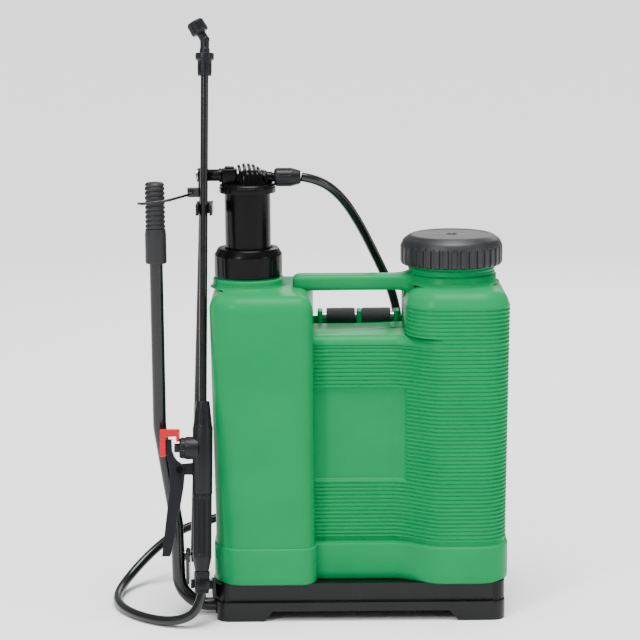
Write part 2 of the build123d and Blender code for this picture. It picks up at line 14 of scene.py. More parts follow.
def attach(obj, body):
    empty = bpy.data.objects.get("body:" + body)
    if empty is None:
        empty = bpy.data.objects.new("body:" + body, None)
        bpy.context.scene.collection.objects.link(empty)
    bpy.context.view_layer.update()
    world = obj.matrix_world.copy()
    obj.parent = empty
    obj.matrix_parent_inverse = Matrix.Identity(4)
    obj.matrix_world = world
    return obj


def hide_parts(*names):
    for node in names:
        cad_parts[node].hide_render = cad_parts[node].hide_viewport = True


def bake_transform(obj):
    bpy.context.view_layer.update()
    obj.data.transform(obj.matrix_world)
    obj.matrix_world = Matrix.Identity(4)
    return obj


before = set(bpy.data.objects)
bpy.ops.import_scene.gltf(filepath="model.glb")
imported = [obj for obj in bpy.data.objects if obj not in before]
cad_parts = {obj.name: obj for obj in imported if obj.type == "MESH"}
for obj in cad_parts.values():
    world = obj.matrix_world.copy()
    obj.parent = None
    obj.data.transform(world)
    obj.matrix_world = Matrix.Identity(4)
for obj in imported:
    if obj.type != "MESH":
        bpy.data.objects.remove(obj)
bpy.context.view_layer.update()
scene = bpy.context.scene
MM = 0.001
TURN = 2 * math.pi

# Tank
COLUMN_Y = 93.0
LEFT_X = (-192.0, -60.0)
MIDDLE_LEFT = -88.0
MIDDLE_FRONT, MIDDLE_BACK, TROUGH_FRONT = -62.0, 76.0, 30.0
WAVE, HOLLOW = (40.0, 108.0), (57, 97)
BASE_TOP, SKIRT_TOP, SHELF_TOP, TROUGH_TOP = 49.0, 97.0, 368.0, 356.0
LEFT_TOP, RIGHT_TOP = 424.0, 428.0
RIB_PITCH, RIB_DEPTH, RIB_ROWS = 5.2, 1.8, 6
RIBS = (102.0, 411.0)
PANEL_X, PANEL_Z, PANEL_DEPTH = (-70.0, 57.0), (181.0, 300.0), 3.6
PUMP_X, FILLER_X = -143.0, 119.5

CORNER, CORNER_AT = 40, 152             # the columns' outer corners: radius, and the right ones' centre
INNER_CORNER = 18
SIDE = 192                              # the columns' outer sides
CORNER_Y = 53                           # the corners' centres, from the middle line
TAPER, TAPER_RUN, TAPER_FROM = 0.022, 300, 60
NECK_BORE = 38.5
STEPS = 8                               # rows in a quarter turn of the columns' tops

# Lance: its axis and the places along it
LANCE_FOOT = Vector((-204.5, -112.5, 45.5))
LANCE_HEAD = Vector((-195.5, 10.9, 723.0))
PLUNGER_S, BEND_S, NOZZLE_TILT = 185.0, 706.0, math.radians(30.6)

# Hose
HOSE_RADIUS, HOSE_LENGTH = 0.006, 1.09
HOSE_ROUTE = [
    (-73.2, 0, 565), (-50, 3, 561), (-22, 24, 537), (2, 52, 497), (24, 78, 450), (46, 92, 402),
    (56, 92, 352), (55, 90, 294), (40, 87, 236), (4, 86, 186), (-48, 92, 147), (-102, 102, 117),
    (-155, 104, 96), (-205, 102, 82), (-248, 96, 69), (-285, 80, 42), (-313, 50, 17), (-325, 8, 6.6),
    (-318, -38, 6.2), (-294, -78, 6.2), (-258, -106, 6.2), (-228, -116, 11), (-209, -117, 25),
    (-204.5, -112.5, 45.5),
]


# ---- Mesh helpers
def piece(name, points, faces, material, body="root", sharp=38):
    """A mesh object from points in millimetres, shaded smooth but for edges sharper than the angle."""
    mesh = bpy.data.meshes.new(name)
    mesh.from_pydata([Vector(p) * MM for p in points], [], faces)
    mesh.validate()
    shape = bmesh.new()
    shape.from_mesh(mesh)
    bmesh.ops.recalc_face_normals(shape, faces=shape.faces)
    shape.to_mesh(mesh)
    shape.free()
    mesh.shade_smooth()
    mesh.set_sharp_from_angle(angle=math.radians(sharp))
    mesh.materials.append(material)
    made = bpy.data.objects.new(name, mesh)
    scene.collection.objects.link(made)
    if body:
        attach(made, body)
    return made


class Shell:
    """Collects the points and faces of one mesh from several closed forms."""

    def __init__(self):
        self.points, self.faces = [], []

    def loft(self, rings, caps=(True, True), closed=False):
        """Joins rings of equally many points; closed joins the last ring to the first."""
        start, count = len(self.points), len(rings[0])
        for ring in rings:
            self.points.extend(ring)
        pairs = [(i, i + 1) for i in range(len(rings) - 1)] + ([(len(rings) - 1, 0)] if closed else [])
        for low, high in pairs:
            for k in range(count):
                after = (k + 1) % count
                self.faces.append([start + low * count + k, start + low * count + after,
                                   start + high * count + after, start + high * count + k])
        if caps[0] and not closed:
            self.faces.append([start + k for k in reversed(range(count))])
        if caps[1] and not closed:
            self.faces.append([start + (len(rings) - 1) * count + k for k in range(count)])
        return self

    def done(self, name, material, body="root", sharp=38):
        return piece(name, self.points, self.faces, material, body, sharp)


def mix(a, b, share):
    return a + (b - a) * share


def smooth(share):
    share = min(max(share, 0.0), 1.0)
    return share * share * (3 - 2 * share)


def spread(low, high, count):
    """Count values from low up to, but not including, high."""
    return [mix(low, high, i / count) for i in range(count)]


def quarter_turn(steps):
    """Angles from 0 to a quarter turn, in radians."""
    return [math.radians(90 * k / steps) for k in range(steps + 1)]


def place(origin, x_dir, z_dir):
    """The matrix of a place whose x and z axes point along the two directions."""
    z = Vector(z_dir).normalized()
    x = (Vector(x_dir) - z * z.dot(Vector(x_dir))).normalized()
    y = z.cross(x)
    turned = Matrix((x, y, z)).transposed().to_4x4()
    return Matrix.Translation(Vector(origin)) @ turned


def upright(x, y=0.0, z=0.0):
    return place((x, y, z), (1, 0, 0), (0, 0, 1))


def along_x(x, y, z):
    return place((x, y, z), (0, 1, 0), (1, 0, 0))


def rounded(outline, radius=0.8, steps=3):
    """The closed outline with each corner off the axis rounded."""
    result = []
    count = len(outline)
    for i, here in enumerate(outline):
        before, after = Vector(outline[i - 1]), Vector(outline[(i + 1) % count])
        here = Vector(here)
        if here.x < 1e-6:
            result.append(tuple(here))
            continue
        back, onward = before - here, after - here
        cut = min(radius, 0.4 * back.length, 0.4 * onward.length)
        a, b = here + back.normalized() * cut, here + onward.normalized() * cut
        for k in range(steps + 1):
            t = k / steps
            result.append(tuple(a * (1 - t) ** 2 + here * 2 * t * (1 - t) + b * t * t))
    return result


def divided(outline, step):
    """The closed outline with its long runs divided, for a surface that is carved later."""
    result = []
    for i, here in enumerate(outline):
        after = outline[(i + 1) % len(outline)]
        result.append(here)
        if here[0] < 1e-6 and after[0] < 1e-6:
            continue
        count = int((Vector(after) - Vector(here)).length // step)
        for k in range(1, count):
            result.append(tuple(Vector(here).lerp(Vector(after), k / count)))
    return result


def add_turned(shell, outline, where, segments=72, carve=None):
    """Adds a form turned about the place's z axis from a closed (radius, height) outline.

    carve(radius, height, angle) gives the radius that a point has in the end.
    """
    rings = []
    for radius, height in outline:
        if radius < 1e-6:
            rings.append([len(shell.points)])
            shell.points.append(where @ Vector((0, 0, height)))
            continue
        ring = []
        for k in range(segments):
            angle = TURN * k / segments
            r = carve(radius, height, angle) if carve else radius
            ring.append(len(shell.points))
            shell.points.append(where @ Vector((r * math.cos(angle), r * math.sin(angle), height)))
        rings.append(ring)
    for low, high in zip(rings, rings[1:] + rings[:1]):
        if len(low) == 1 and len(high) == 1:
            continue
        for k in range(segments):
            after = (k + 1) % segments
            if len(low) == 1:
                shell.faces.append([low[0], high[after], high[k]])
            elif len(high) == 1:
                shell.faces.append([low[k], low[after], high[0]])
            else:
                shell.faces.append([low[k], low[after], high[after], high[k]])


def turned(name, outline, where, material, body="root", segments=72, carve=None, radius=0.8, step=None,
           stands_for=()):
    shell = Shell()
    outline = rounded(outline, radius)
    if step:
        outline = divided(outline, step)
    add_turned(shell, outline, where, segments, carve)
    made = shell.done(name, material, body)
    if stands_for:
        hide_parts(*stands_for)
    return made


def box_ring(x, y, z, corner, steps=6):
    """A rounded rectangle in plan at the height, anticlockwise."""
    points = []
    corner = min(corner, (x[1] - x[0]) / 2 - 0.01, (y[1] - y[0]) / 2 - 0.01)
    for cx, cy, first in ((x[1] - corner, y[0] + corner, -90), (x[1] - corner, y[1] - corner, 0),
                          (x[0] + corner, y[1] - corner, 90), (x[0] + corner, y[0] + corner, 180)):
        for k in range(steps + 1):
            a = math.radians(first + 90 * k / steps)
            points.append(Vector((cx + corner * math.cos(a), cy + corner * math.sin(a), z)))
    return points


def add_block(shell, x, y, z, corner=2.0, edge=1.0, where=None):
    """Adds a block with rounded corners in plan and rounded top and bottom edges."""
    rings = []
    for high in (False, True):
        for k in range(4):
            a = math.radians(30 * k)
            inset = edge * (1 - math.sin(a)) if not high else edge * (1 - math.cos(a))
            rise = edge * (1 - math.cos(a)) if not high else z[1] - z[0] - edge * (1 - math.sin(a))
            rings.append(box_ring((x[0] + inset, x[1] - inset), (y[0] + inset, y[1] - inset), z[0] + rise,
                                  max(corner - inset, 0.2)))
    if where:
        rings = [[where @ p for p in ring] for ring in rings]
    shell.loft(rings)


def swept(shell, path, section, up=Vector((0, 0, 1)), scale=None):
    """Sweeps a closed (across, up) section along a line of points, closed at both ends."""
    path = [Vector(p) for p in path]
    rings = []
    across = None
    for i, here in enumerate(path):
        ahead = (path[min(i + 1, len(path) - 1)] - path[max(i - 1, 0)]).normalized()
        if across is None:
            across = ahead.cross(up).normalized()
        across = (across - ahead * ahead.dot(across)).normalized()
        over = across.cross(ahead)
        grow = scale[i] if scale else 1.0
        rings.append([here + across * (a * grow) + over * (b * grow) for a, b in section])
    shell.loft(rings)


def circle(radius, count=16):
    return [(radius * math.cos(TURN * k / count), radius * math.sin(TURN * k / count)) for k in range(count)]


# ---- Materials
def material(name, color, roughness, grain=0.0, grain_scale=900.0, spread_of_color=0.08, coat=0.0,
             metallic=0.0, sheen=0.0, rough_spread=0.08, specks=0.0, shine=0.5):
    """A moulded, painted or metal surface: uneven colour and gloss, and a fine grain."""
    made = bpy.data.materials.new(name)
    made.use_nodes = True
    nodes, links = made.node_tree.nodes, made.node_tree.links
    shader = nodes["Principled BSDF"]
    shader.inputs["Metallic"].default_value = metallic
    shader.inputs["Coat Weight"].default_value = coat
    shader.inputs["Coat Roughness"].default_value = 0.12
    shader.inputs["Sheen Weight"].default_value = sheen
    shader.inputs["Specular IOR Level"].default_value = shine
    where = nodes.new("ShaderNodeTexCoord")
    cloud = nodes.new("ShaderNodeTexNoise")
    cloud.inputs["Scale"].default_value = 14.0
    cloud.inputs["Detail"].default_value = 6.0
    links.new(where.outputs["Object"], cloud.inputs["Vector"])
    tone = nodes.new("ShaderNodeValToRGB")
    tone.color_ramp.elements[0].position = 0.3
    tone.color_ramp.elements[1].position = 0.7
    tone.color_ramp.elements[0].color = (*[c * (1 - spread_of_color) for c in color], 1)
    tone.color_ramp.elements[1].color = (*[min(1, c * (1 + spread_of_color)) for c in color], 1)
    links.new(cloud.outputs["Fac"], tone.inputs["Fac"])
    color_out = tone.outputs["Color"]
    if specks:
        fleck = nodes.new("ShaderNodeTexVoronoi")
        fleck.inputs["Scale"].default_value = 160.0
        links.new(where.outputs["Object"], fleck.inputs["Vector"])
        only = nodes.new("ShaderNodeMapRange")
        only.inputs["From Min"].default_value = 0.035
        only.inputs["From Max"].default_value = 0.055
        only.inputs["To Min"].default_value = specks
        only.inputs["To Max"].default_value = 0.0
        links.new(fleck.outputs["Distance"], only.inputs["Value"])
        dark = nodes.new("ShaderNodeMix")
        dark.data_type = "RGBA"
        dark.inputs["B"].default_value = (*[c * 0.35 for c in color], 1)
        links.new(only.outputs["Result"], dark.inputs["Factor"])
        links.new(color_out, dark.inputs["A"])
        color_out = dark.outputs["Result"]
    links.new(color_out, shader.inputs["Base Color"])
    gloss = nodes.new("ShaderNodeMapRange")
    gloss.inputs["To Min"].default_value = max(roughness - rough_spread, 0.03)
    gloss.inputs["To Max"].default_value = roughness + rough_spread
    patch = nodes.new("ShaderNodeTexNoise")
    patch.inputs["Scale"].default_value = 60.0
    patch.inputs["Detail"].default_value = 4.0
    links.new(where.outputs["Object"], patch.inputs["Vector"])
    links.new(patch.outputs["Fac"], gloss.inputs["Value"])
    links.new(gloss.outputs["Result"], shader.inputs["Roughness"])
    if grain:
        fine = nodes.new("ShaderNodeTexNoise")
        fine.inputs["Scale"].default_value = grain_scale
        fine.inputs["Detail"].default_value = 3.0
        links.new(where.outputs["Object"], fine.inputs["Vector"])
        bump = nodes.new("ShaderNodeBump")
        bump.inputs["Strength"].default_value = grain
        bump.inputs["Distance"].default_value = 0.0004
        links.new(fine.outputs["Fac"], bump.inputs["Height"])
        links.new(bump.outputs["Normal"], shader.inputs["Normal"])
    return made


def fabric(name, color, thread):
    """Woven cloth: a basket weave of the thread's width in metres, with a soft sheen."""
    made = material(name, color, 0.8, sheen=0.35, spread_of_color=0.2)
    nodes, links = made.node_tree.nodes, made.node_tree.links
    where = nodes["Texture Coordinate"]
    height = None
    for axis in ("X", "Z"):
        wave = nodes.new("ShaderNodeTexWave")
        wave.wave_type = "BANDS"
        wave.bands_direction = axis
        wave.inputs["Scale"].default_value = 0.314 / thread
        links.new(where.outputs["Object"], wave.inputs["Vector"])
        if height is None:
            height = wave.outputs["Fac"]
            continue
        both = nodes.new("ShaderNodeMath")
        both.operation = "MULTIPLY"
        links.new(height, both.inputs[0])
        links.new(wave.outputs["Fac"], both.inputs[1])
        height = both.outputs["Value"]
    bump = nodes.new("ShaderNodeBump")
    bump.inputs["Strength"].default_value = 0.8
    bump.inputs["Distance"].default_value = thread * 0.5
    links.new(height, bump.inputs["Height"])
    links.new(bump.outputs["Normal"], nodes["Principled BSDF"].inputs["Normal"])
    return made


GREEN = material("moulded_green", (0.0, 0.235, 0.07), 0.3, shine=0.06, grain=0.12, grain_scale=500,
                 spread_of_color=0.05, rough_spread=0.05, specks=0.5)
BLACK = material("gloss_black", (0.002, 0.002, 0.0022), 0.24, grain=0.05, spread_of_color=0.15, shine=0.14)
BASE_BLACK = material("base_black", (0.004, 0.004, 0.0045), 0.3, grain=0.15, grain_scale=700, shine=0.25)
CAP = material("cap_black", (0.012, 0.013, 0.016), 0.42, grain=0.3, grain_scale=1400, shine=0.4)
VALVE = material("valve_black", (0.008, 0.0085, 0.0105), 0.36, grain=0.22, grain_scale=1200, shine=0.22)
RED = material("latch_red", (0.5, 0.004, 0.012), 0.28, grain=0.05)
RUBBER = material("grip_rubber", (0.012, 0.012, 0.014), 0.5, grain=0.35, grain_scale=1600, shine=0.35)
PAINT = material("painted_bar", (0.004, 0.004, 0.0045), 0.28, grain=0.08, grain_scale=300, coat=0.15,
                 shine=0.4)
STEEL = material("zinc_steel", (0.42, 0.43, 0.45), 0.3, grain=0.1, metallic=1.0)
SEAL = material("seal_rubber", (0.015, 0.015, 0.015), 0.6, grain=0.2)
BALL = material("valve_ball", (0.75, 0.75, 0.7), 0.3)
BASKET = material("basket_black", (0.03, 0.03, 0.032), 0.5, grain=0.2)
HOSE = material("hose_pvc", (0.006, 0.006, 0.007), 0.24, grain=0.06, grain_scale=350, coat=0.15, shine=0.4)
WEBBING = fabric("webbing", (0.012, 0.012, 0.014), 0.0013)
PAD_CLOTH = fabric("pad_cloth", (0.017, 0.017, 0.02), 0.0008)

FINISHES = {
    "air_chamber_tube": BLACK, "cross_arm": BLACK, "lance_clip": BASE_BLACK,
    "lance_holder": BASE_BLACK, "suction_strainer": BLACK, "foot_valve_seat": BLACK, "pump_barrel": BLACK,
    "piston": BLACK, "dip_tube": BLACK, "cap_breather": CAP, "shaft_bush_outer": BASE_BLACK,
    "shaft_bush_inner": BASE_BLACK, "valve_body": VALVE, "lance_elbow": VALVE, "swirl_insert": VALVE,
    "trigger": VALVE, "valve_plunger": VALVE, "trigger_latch": RED, "lever_bar": PAINT, "crank_ear": PAINT,
    "link_rod": PAINT, "lance_tube": PAINT, "crank_bolt": STEEL, "link_washer": STEEL,
    "shaft_end_washer": STEEL, "lever_bail": PAINT, "base_screws": STEEL, "trigger_pin": BLACK,
    "strap_bar": STEEL, "plunger_spring": STEEL, "neck_gasket": SEAL, "filler_gasket": SEAL,
    "piston_cup_seal": SEAL, "foot_valve_ball": BALL, "outlet_valve_ball": BALL, "strainer_basket": BASKET,
    "strainer_floor": BASKET, "strainer_rim": BASKET,
}
EDGES = {"lance_holder": 0.6, "crank_ear": 0.6, "link_rod": 0.5, "lance_clip": 0.8,
         "trigger": 1.6, "trigger_latch": 1.2, "valve_body": 0.6, "cross_arm": 0.5}
WELD_GAP = 0.00002


def soften(made, width):
    """Rounds a piece's sharp edges by the width in metres."""
    bevel = made.modifiers.new("edges", "BEVEL")
    bevel.width = width
    bevel.segments = 3
    bevel.limit_method = "ANGLE"
    bevel.angle_limit = math.radians(40)


def finish_node(name, finish):
    """Gives a CAD node its material and, if it is a moulded or cut piece, softer edges."""
    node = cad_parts[name]
    node.data.materials.clear()
    node.data.materials.append(finish)
    if name in EDGES:
        weld = node.modifiers.new("weld", "WELD")
        weld.merge_threshold = WELD_GAP
        soften(node, EDGES[name] * MM)


for node_name, finish in FINISHES.items():
    finish_node(node_name, finish)


def one_moulding(name, nodes, cut_x, finish, edge):
    """One mesh from CAD nodes that meet at the plane x = cut_x, with soft edges."""
    joined = bmesh.new()
    for node in nodes:
        joined.from_mesh(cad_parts[node].data)
    bmesh.ops.remove_doubles(joined, verts=joined.verts, dist=WELD_GAP)
    inner = [f for f in joined.faces if all(abs(v.co.x - cut_x) < WELD_GAP / 2 for v in f.verts)]
    bmesh.ops.delete(joined, geom=inner, context="FACES")
    bmesh.ops.dissolve_limit(joined, angle_limit=math.radians(1), verts=joined.verts, edges=joined.edges)
    mesh = bpy.data.meshes.new(name)
    joined.to_mesh(mesh)
    joined.free()
    mesh.materials.clear()
    mesh.materials.append(finish)
    made = bpy.data.objects.new(name, mesh)
    scene.collection.objects.link(made)
    soften(made, edge)
    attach(made, "root")
    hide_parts(*nodes)
    return made


base = one_moulding("base_shell", ["base_left", "base_right"], -0.02, BASE_BLACK, 0.0012)

# ---- Camera, light and floor
CAMERA_SPOT, CAMERA_TILT, CAMERA_ROLL = (-0.051, -2.7057, 0.8697), 79.7, -0.45
camera = bpy.data.objects.new("camera", bpy.data.cameras.new("camera"))
camera.data.lens = 118.97
camera.data.sensor_width = 36
camera.data.clip_end = 200
camera.matrix_world = (Matrix.Translation(CAMERA_SPOT) @ Matrix.Rotation(math.radians(CAMERA_TILT), 4, "X")
                       @ Matrix.Rotation(math.radians(CAMERA_ROLL), 4, "Z"))
scene.collection.objects.link(camera)
scene.camera = camera


MIDDLE = (0, 0, 0.35)


def softbox(name, spot, size, power):
    """A soft rectangular lamp turned to the object's middle."""
    lamp = bpy.data.lights.new(name, "AREA")
    lamp.shape = "RECTANGLE"
    lamp.size, lamp.size_y = size
    lamp.energy = power
    made = bpy.data.objects.new(name, lamp)
    made.location = spot
    made.rotation_euler = (Vector(MIDDLE) - Vector(spot)).to_track_quat("-Z", "Y").to_euler()
    scene.collection.objects.link(made)


softbox("key", (-1.5, -2.0, 1.9), (0.5, 0.9), 42)
softbox("fill", (2.2, -1.2, 1.3), (0.4, 1.4), 14)
softbox("top", (0.1, -0.3, 2.6), (1.6, 0.8), 14)
softbox("behind", (0.6, 2.4, 1.7), (1.8, 1.4), 20)
daylight = bpy.data.objects.new("daylight", bpy.data.lights.new("daylight", "SUN"))
daylight.data.energy = 5.2
daylight.data.angle = math.radians(40)
daylight.rotation_euler = Vector((-0.1, 0.3, -2)).to_track_quat("-Z", "Y").to_euler()
scene.collection.objects.link(daylight)
world = bpy.data.worlds.new("studio")
world.use_nodes = True
world.node_tree.nodes["Background"].inputs["Color"].default_value = (1, 1, 1, 1)
world.node_tree.nodes["Background"].inputs["Strength"].default_value = 0.36
scene.world = world

floor_paint = bpy.data.materials.new("floor")
floor_paint.use_nodes = True
floor_paint.node_tree.nodes["Principled BSDF"].inputs["Base Color"].default_value = (0.93, 0.93, 0.93, 1)
floor_paint.node_tree.nodes["Principled BSDF"].inputs["Roughness"].default_value = 0.9
FAR = 60
floor_mesh = bpy.data.meshes.new("floor")
floor_mesh.from_pydata([(-FAR, -FAR, 0), (FAR, -FAR, 0), (FAR, FAR, 0), (-FAR, FAR, 0)], [], [[0, 1, 2, 3]])
floor_mesh.materials.append(floor_paint)
floor = bpy.data.objects.new("floor", floor_mesh)
scene.collection.objects.link(floor)


# ---- Hose: one hose from the chamber's outlet, down behind the tank, to the lance's handle
def read_spline(route):
    """Points along the smooth line that has the route as its control points, in metres."""
    curve = bpy.data.curves.new("route", "CURVE")
    curve.dimensions = "3D"
    curve.resolution_u = 14
    line = curve.splines.new("NURBS")
    line.points.add(len(route) - 1)
    for point, spot in zip(line.points, route):
        point.co = (*(Vector(spot) * MM), 1)
    line.order_u = 3
    line.use_endpoint_u = True
    holder = bpy.data.objects.new("route", curve)
    scene.collection.objects.link(holder)
    bpy.context.view_layer.update()
    mesh = bpy.data.meshes.new_from_object(holder)
    points = [v.co.copy() for v in mesh.vertices]
    bpy.data.objects.remove(holder)
    return points


hose_line = read_spline(HOSE_ROUTE)
hose_shell = Shell()
swept(hose_shell, [p / MM for p in hose_line], circle(HOSE_RADIUS / MM, 24))
hose = hose_shell.done("hose", HOSE, body=None)
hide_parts("hose_upper", "hose_lower")
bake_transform(hose)


# ---- Tank
def arc(cx, cy, radius, first, last, count):
    return [(cx + radius * math.cos(math.radians(a)), cy + radius * math.sin(math.radians(a)))
            for a in spread(first, last, count)]


def push_out(points, amounts):
    """Moves each point of a closed outline outward by its own amount."""
    result = []
    for i, (x, y) in enumerate(points):
        before, after = points[i - 1], points[(i + 1) % len(points)]
        along = Vector((after[0] - before[0], after[1] - before[1]))
        if along.length < 1e-9:
            result.append((x, y))
            continue
        out = Vector((along.y, -along.x)).normalized() * amounts[i]
        result.append((x + out.x, y + out.y))
    return result


FRONT_X = spread(MIDDLE_LEFT, WAVE[0], 18)
WAVE_X = spread(WAVE[0], WAVE[1], 36)


def outer_side():
    """The right column's outer corners and side, and the back up to the strap's hollow."""
    points = arc(CORNER_AT, -CORNER_Y, CORNER, -90, 0, 18)
    points += [(SIDE, y) for y in spread(-CORNER_Y, CORNER_Y, 10)]
    points += arc(CORNER_AT, CORNER_Y, CORNER, 0, 90, 14)
    points += [(x, COLUMN_Y) for x in spread(CORNER_AT, HOLLOW[1], 5)]
    return points


def main_outline(front, back):
    """The middle and the right column in plan, as one outline with a wave between the two."""
    points = [(x, front) for x in FRONT_X]
    points += [(x, mix(front, -COLUMN_Y, smooth((x - WAVE[0]) / (WAVE[1] - WAVE[0])))) for x in WAVE_X]
    points += [(x, -COLUMN_Y) for x in spread(WAVE[1], CORNER_AT, 6)]
    points += outer_side()
    wide = HOLLOW[1] - HOLLOW[0]
    for x in spread(HOLLOW[1], HOLLOW[0], 10):
        points.append((x, mix(COLUMN_Y, back, smooth((HOLLOW[1] - x) / wide))))
    points += [(x, back) for x in spread(HOLLOW[0], MIDDLE_LEFT, 12)]
    points += [(MIDDLE_LEFT, y) for y in spread(back, front, 4)]
    return points


def column_outline():
    """The right column alone, with as many points as the main outline and in the same order."""
    points = [(HOLLOW[0], y) for y in spread(0, -46, len(FRONT_X))]
    points += arc(104, -46, 47, 180, 270, len(WAVE_X))
    points += [(x, -COLUMN_Y) for x in spread(104, CORNER_AT, 6)]
    points += outer_side()
    points += arc(HOLLOW[1], CORNER_Y, CORNER, 90, 180, 10)
    points += [(HOLLOW[0], y) for y in spread(CORNER_Y, 6, 12)]
    points += [(HOLLOW[0], y) for y in spread(6, 0, 4)]
    return points


def left_outline():
    """The left column in plan, with wide corners outside and narrow ones beside the middle."""
    x0, x1 = LEFT_X
    outer, inner, inner_y = x0 + CORNER, x1 - INNER_CORNER, COLUMN_Y - INNER_CORNER
    points = arc(outer, -CORNER_Y, CORNER, 180, 270, 18)
    points += [(x, -COLUMN_Y) for x in spread(outer, inner, 8)]
    points += arc(inner, -inner_y, INNER_CORNER, -90, 0, 12)
    points += [(x1, y) for y in spread(-inner_y, inner_y, 10)]
    points += arc(inner, inner_y, INNER_CORNER, 0, 90, 8)
    points += [(x, COLUMN_Y) for x in spread(inner, outer, 6)]
    points += arc(outer, CORNER_Y, CORNER, 90, 180, 14)
    points += [(x0, y) for y in spread(CORNER_Y, -CORNER_Y, 10)]
    return points


def tapered(x, z, top):
    """The columns are a little narrower low down than at their tops."""
    lower = min(max((top - z) / TAPER_RUN, 0), 1)
    return x * (1 - TAPER * lower * smooth((abs(x) - TAPER_FROM) / (SIDE - TAPER_FROM)))


def at_height(outline, z, top):
    return [Vector((tapered(x, z, top), y, z)) for x, y in outline]


SKIRT_LIP = [(BASE_TOP, 0.4), (BASE_TOP + 0.8, 1.8), (BASE_TOP + 2.2, 2.5), (60, 2.5), (78, 2.5),
             (SKIRT_TOP - 2.6, 2.5), (SKIRT_TOP - 1.2, 2.2), (SKIRT_TOP - 0.2, 1.2), (SKIRT_TOP + 0.3, 0)]


def neck_rows(outline, centre, profile):
    """Rows that draw the outline in to rings about the neck's axis, then follow (radius, height)."""
    rows = []
    for radius, z in profile:
        ring = []
        for x, y in outline:
            way = Vector((x - centre, y)).normalized()
            ring.append(Vector((centre + way.x * radius, way.y * radius, z)))
        rows.append(ring)
    return rows


RIB_X, RIB_FADE_Y = 150, 40


def rib_fade(y):
    """How strong the ribs are at the depth: whole in front, and gone at the back."""
    return 1.0 if y < RIB_FADE_Y else smooth((COLUMN_Y - y) / RIB_FADE_Y)


tank_shell = Shell()
plan = left_outline()
rows = []
for z, out in SKIRT_LIP:
    rows.append(at_height(push_out(plan, [out] * len(plan)), z, LEFT_TOP))
for z in (99, 130, 190, 250, 310, 370, 390, 402):
    rows.append(at_height(plan, z, LEFT_TOP))
CROWN, COLUMN_CROWN = 20, 22
for a in quarter_turn(STEPS):
    drawn = push_out(plan, [-CROWN * (1 - math.cos(a))] * len(plan))
    rows.append(at_height(drawn, LEFT_TOP - CROWN + CROWN * math.sin(a), LEFT_TOP))
rows += neck_rows(plan, PUMP_X, [
    (50, 424.4), (48, 425.4), (46.8, 427.5), (46, 431), (46, 434.5), (45.4, 435.4), (43.6, 435.8),
    (42.6, 436.6), (41.4, 438), (41, 441), (41, 451), (40.2, 452), (NECK_BORE, 452),
    (NECK_BORE, 430), (NECK_BORE, 250), (NECK_BORE, 62)])
tank_shell.loft(rows)

plan_full = main_outline(MIDDLE_FRONT, MIDDLE_BACK)
plan_trough = main_outline(MIDDLE_FRONT, TROUGH_FRONT)
plan_skirt = main_outline(MIDDLE_FRONT - 5.5, MIDDLE_BACK - 2.5)
plan_column = column_outline()
in_middle = [1.0] * len(FRONT_X) + [1 - smooth((x - HOLLOW[0]) / (WAVE[1] - HOLLOW[0])) for x in WAVE_X]
in_middle += [0.0] * (len(plan_full) - len(in_middle))
BACK_COUNT = 26    # the outline's points on the middle's back and left
ribbed = [0.0] * len(plan_full)
for i, (x, y) in enumerate(plan_full):
    if y < 0 or x > RIB_X:
        ribbed[i] = rib_fade(y)
for i in range(len(plan_full) - BACK_COUNT, len(plan_full)):
    ribbed[i] = 0.0


def rib(z):
    """How far a rib stands out at the height: rounded ridges with narrower grooves between them."""
    phase = math.cos(TURN * (z - RIBS[0]) / RIB_PITCH)
    ends = smooth((z - RIBS[0]) / 3) * smooth((RIBS[1] - z) / 3)
    return ends * RIB_DEPTH * (0.5 - 0.5 * phase) ** 0.8


def panel_share(x, z):
    """1 in the smooth panel and 0 outside it, over a narrow edge."""
    across = min(x - PANEL_X[0], PANEL_X[1] - x)
    high = min(z - PANEL_Z[0], PANEL_Z[1] - z)
    return smooth(across / 5.0 + 0.5) * smooth(high / 1.6 + 0.5)


def ribbed_row(plan, z, weights):
    """A row of the ribbed tank, with the panel let into its front."""
    out = []
    for i, (x, y) in enumerate(plan):
        sunk = panel_share(x, z) if y < 0 and i < len(FRONT_X) + len(WAVE_X) else 0.0
        out.append(weights[i] * (rib(z) - RIB_DEPTH) * (1 - sunk) - PANEL_DEPTH * sunk)
    return push_out(plan, out)


rows = []
for z, out in SKIRT_LIP:
    plan = plan_skirt if z < SKIRT_TOP else plan_full
    rows.append(at_height(push_out(plan, [out if z < SKIRT_TOP else 0.0] * len(plan)), z, RIGHT_TOP))
step = RIB_PITCH / RIB_ROWS
z = SKIRT_TOP + 1.5
while z < TROUGH_TOP - 1:
    rows.append(at_height(ribbed_row(plan_full, z, ribbed), z, RIGHT_TOP))
    z += step
rows.append(at_height(ribbed_row(plan_full, TROUGH_TOP, ribbed), TROUGH_TOP, RIGHT_TOP))
SHOULDER, SHELF_STEPS = 13.0, 12
z = TROUGH_TOP + 0.2
while z < SHELF_TOP - SHOULDER:
    rows.append(at_height(ribbed_row(plan_trough, z, ribbed), z, RIGHT_TOP))
    z += step
low = z
for k, a in enumerate(quarter_turn(SHELF_STEPS)):
    z_side = mix(low, SHELF_TOP, k / SHELF_STEPS)
    inset = SHOULDER * (1 - math.cos(a))
    weights = [w * (1 - m) for w, m in zip(ribbed, in_middle)]
    side = ribbed_row(plan_trough, z_side, ribbed if k == 0 else weights)
    drawn = push_out(plan_trough, [-inset] * len(plan_trough))
    row = []
    for i, m in enumerate(in_middle):
        x = mix(side[i][0], drawn[i][0], m)
        y = mix(side[i][1], drawn[i][1], m)
        height = mix(z_side, low + (SHELF_TOP - low) * math.sin(a), m)
        row.append(Vector((tapered(x, height, RIGHT_TOP), y, height)))
    rows.append(row)
z = SHELF_TOP + 0.3
column_ribs = [rib_fade(y) if y < 0 or x > RIB_X else 0.0 for x, y in plan_column]
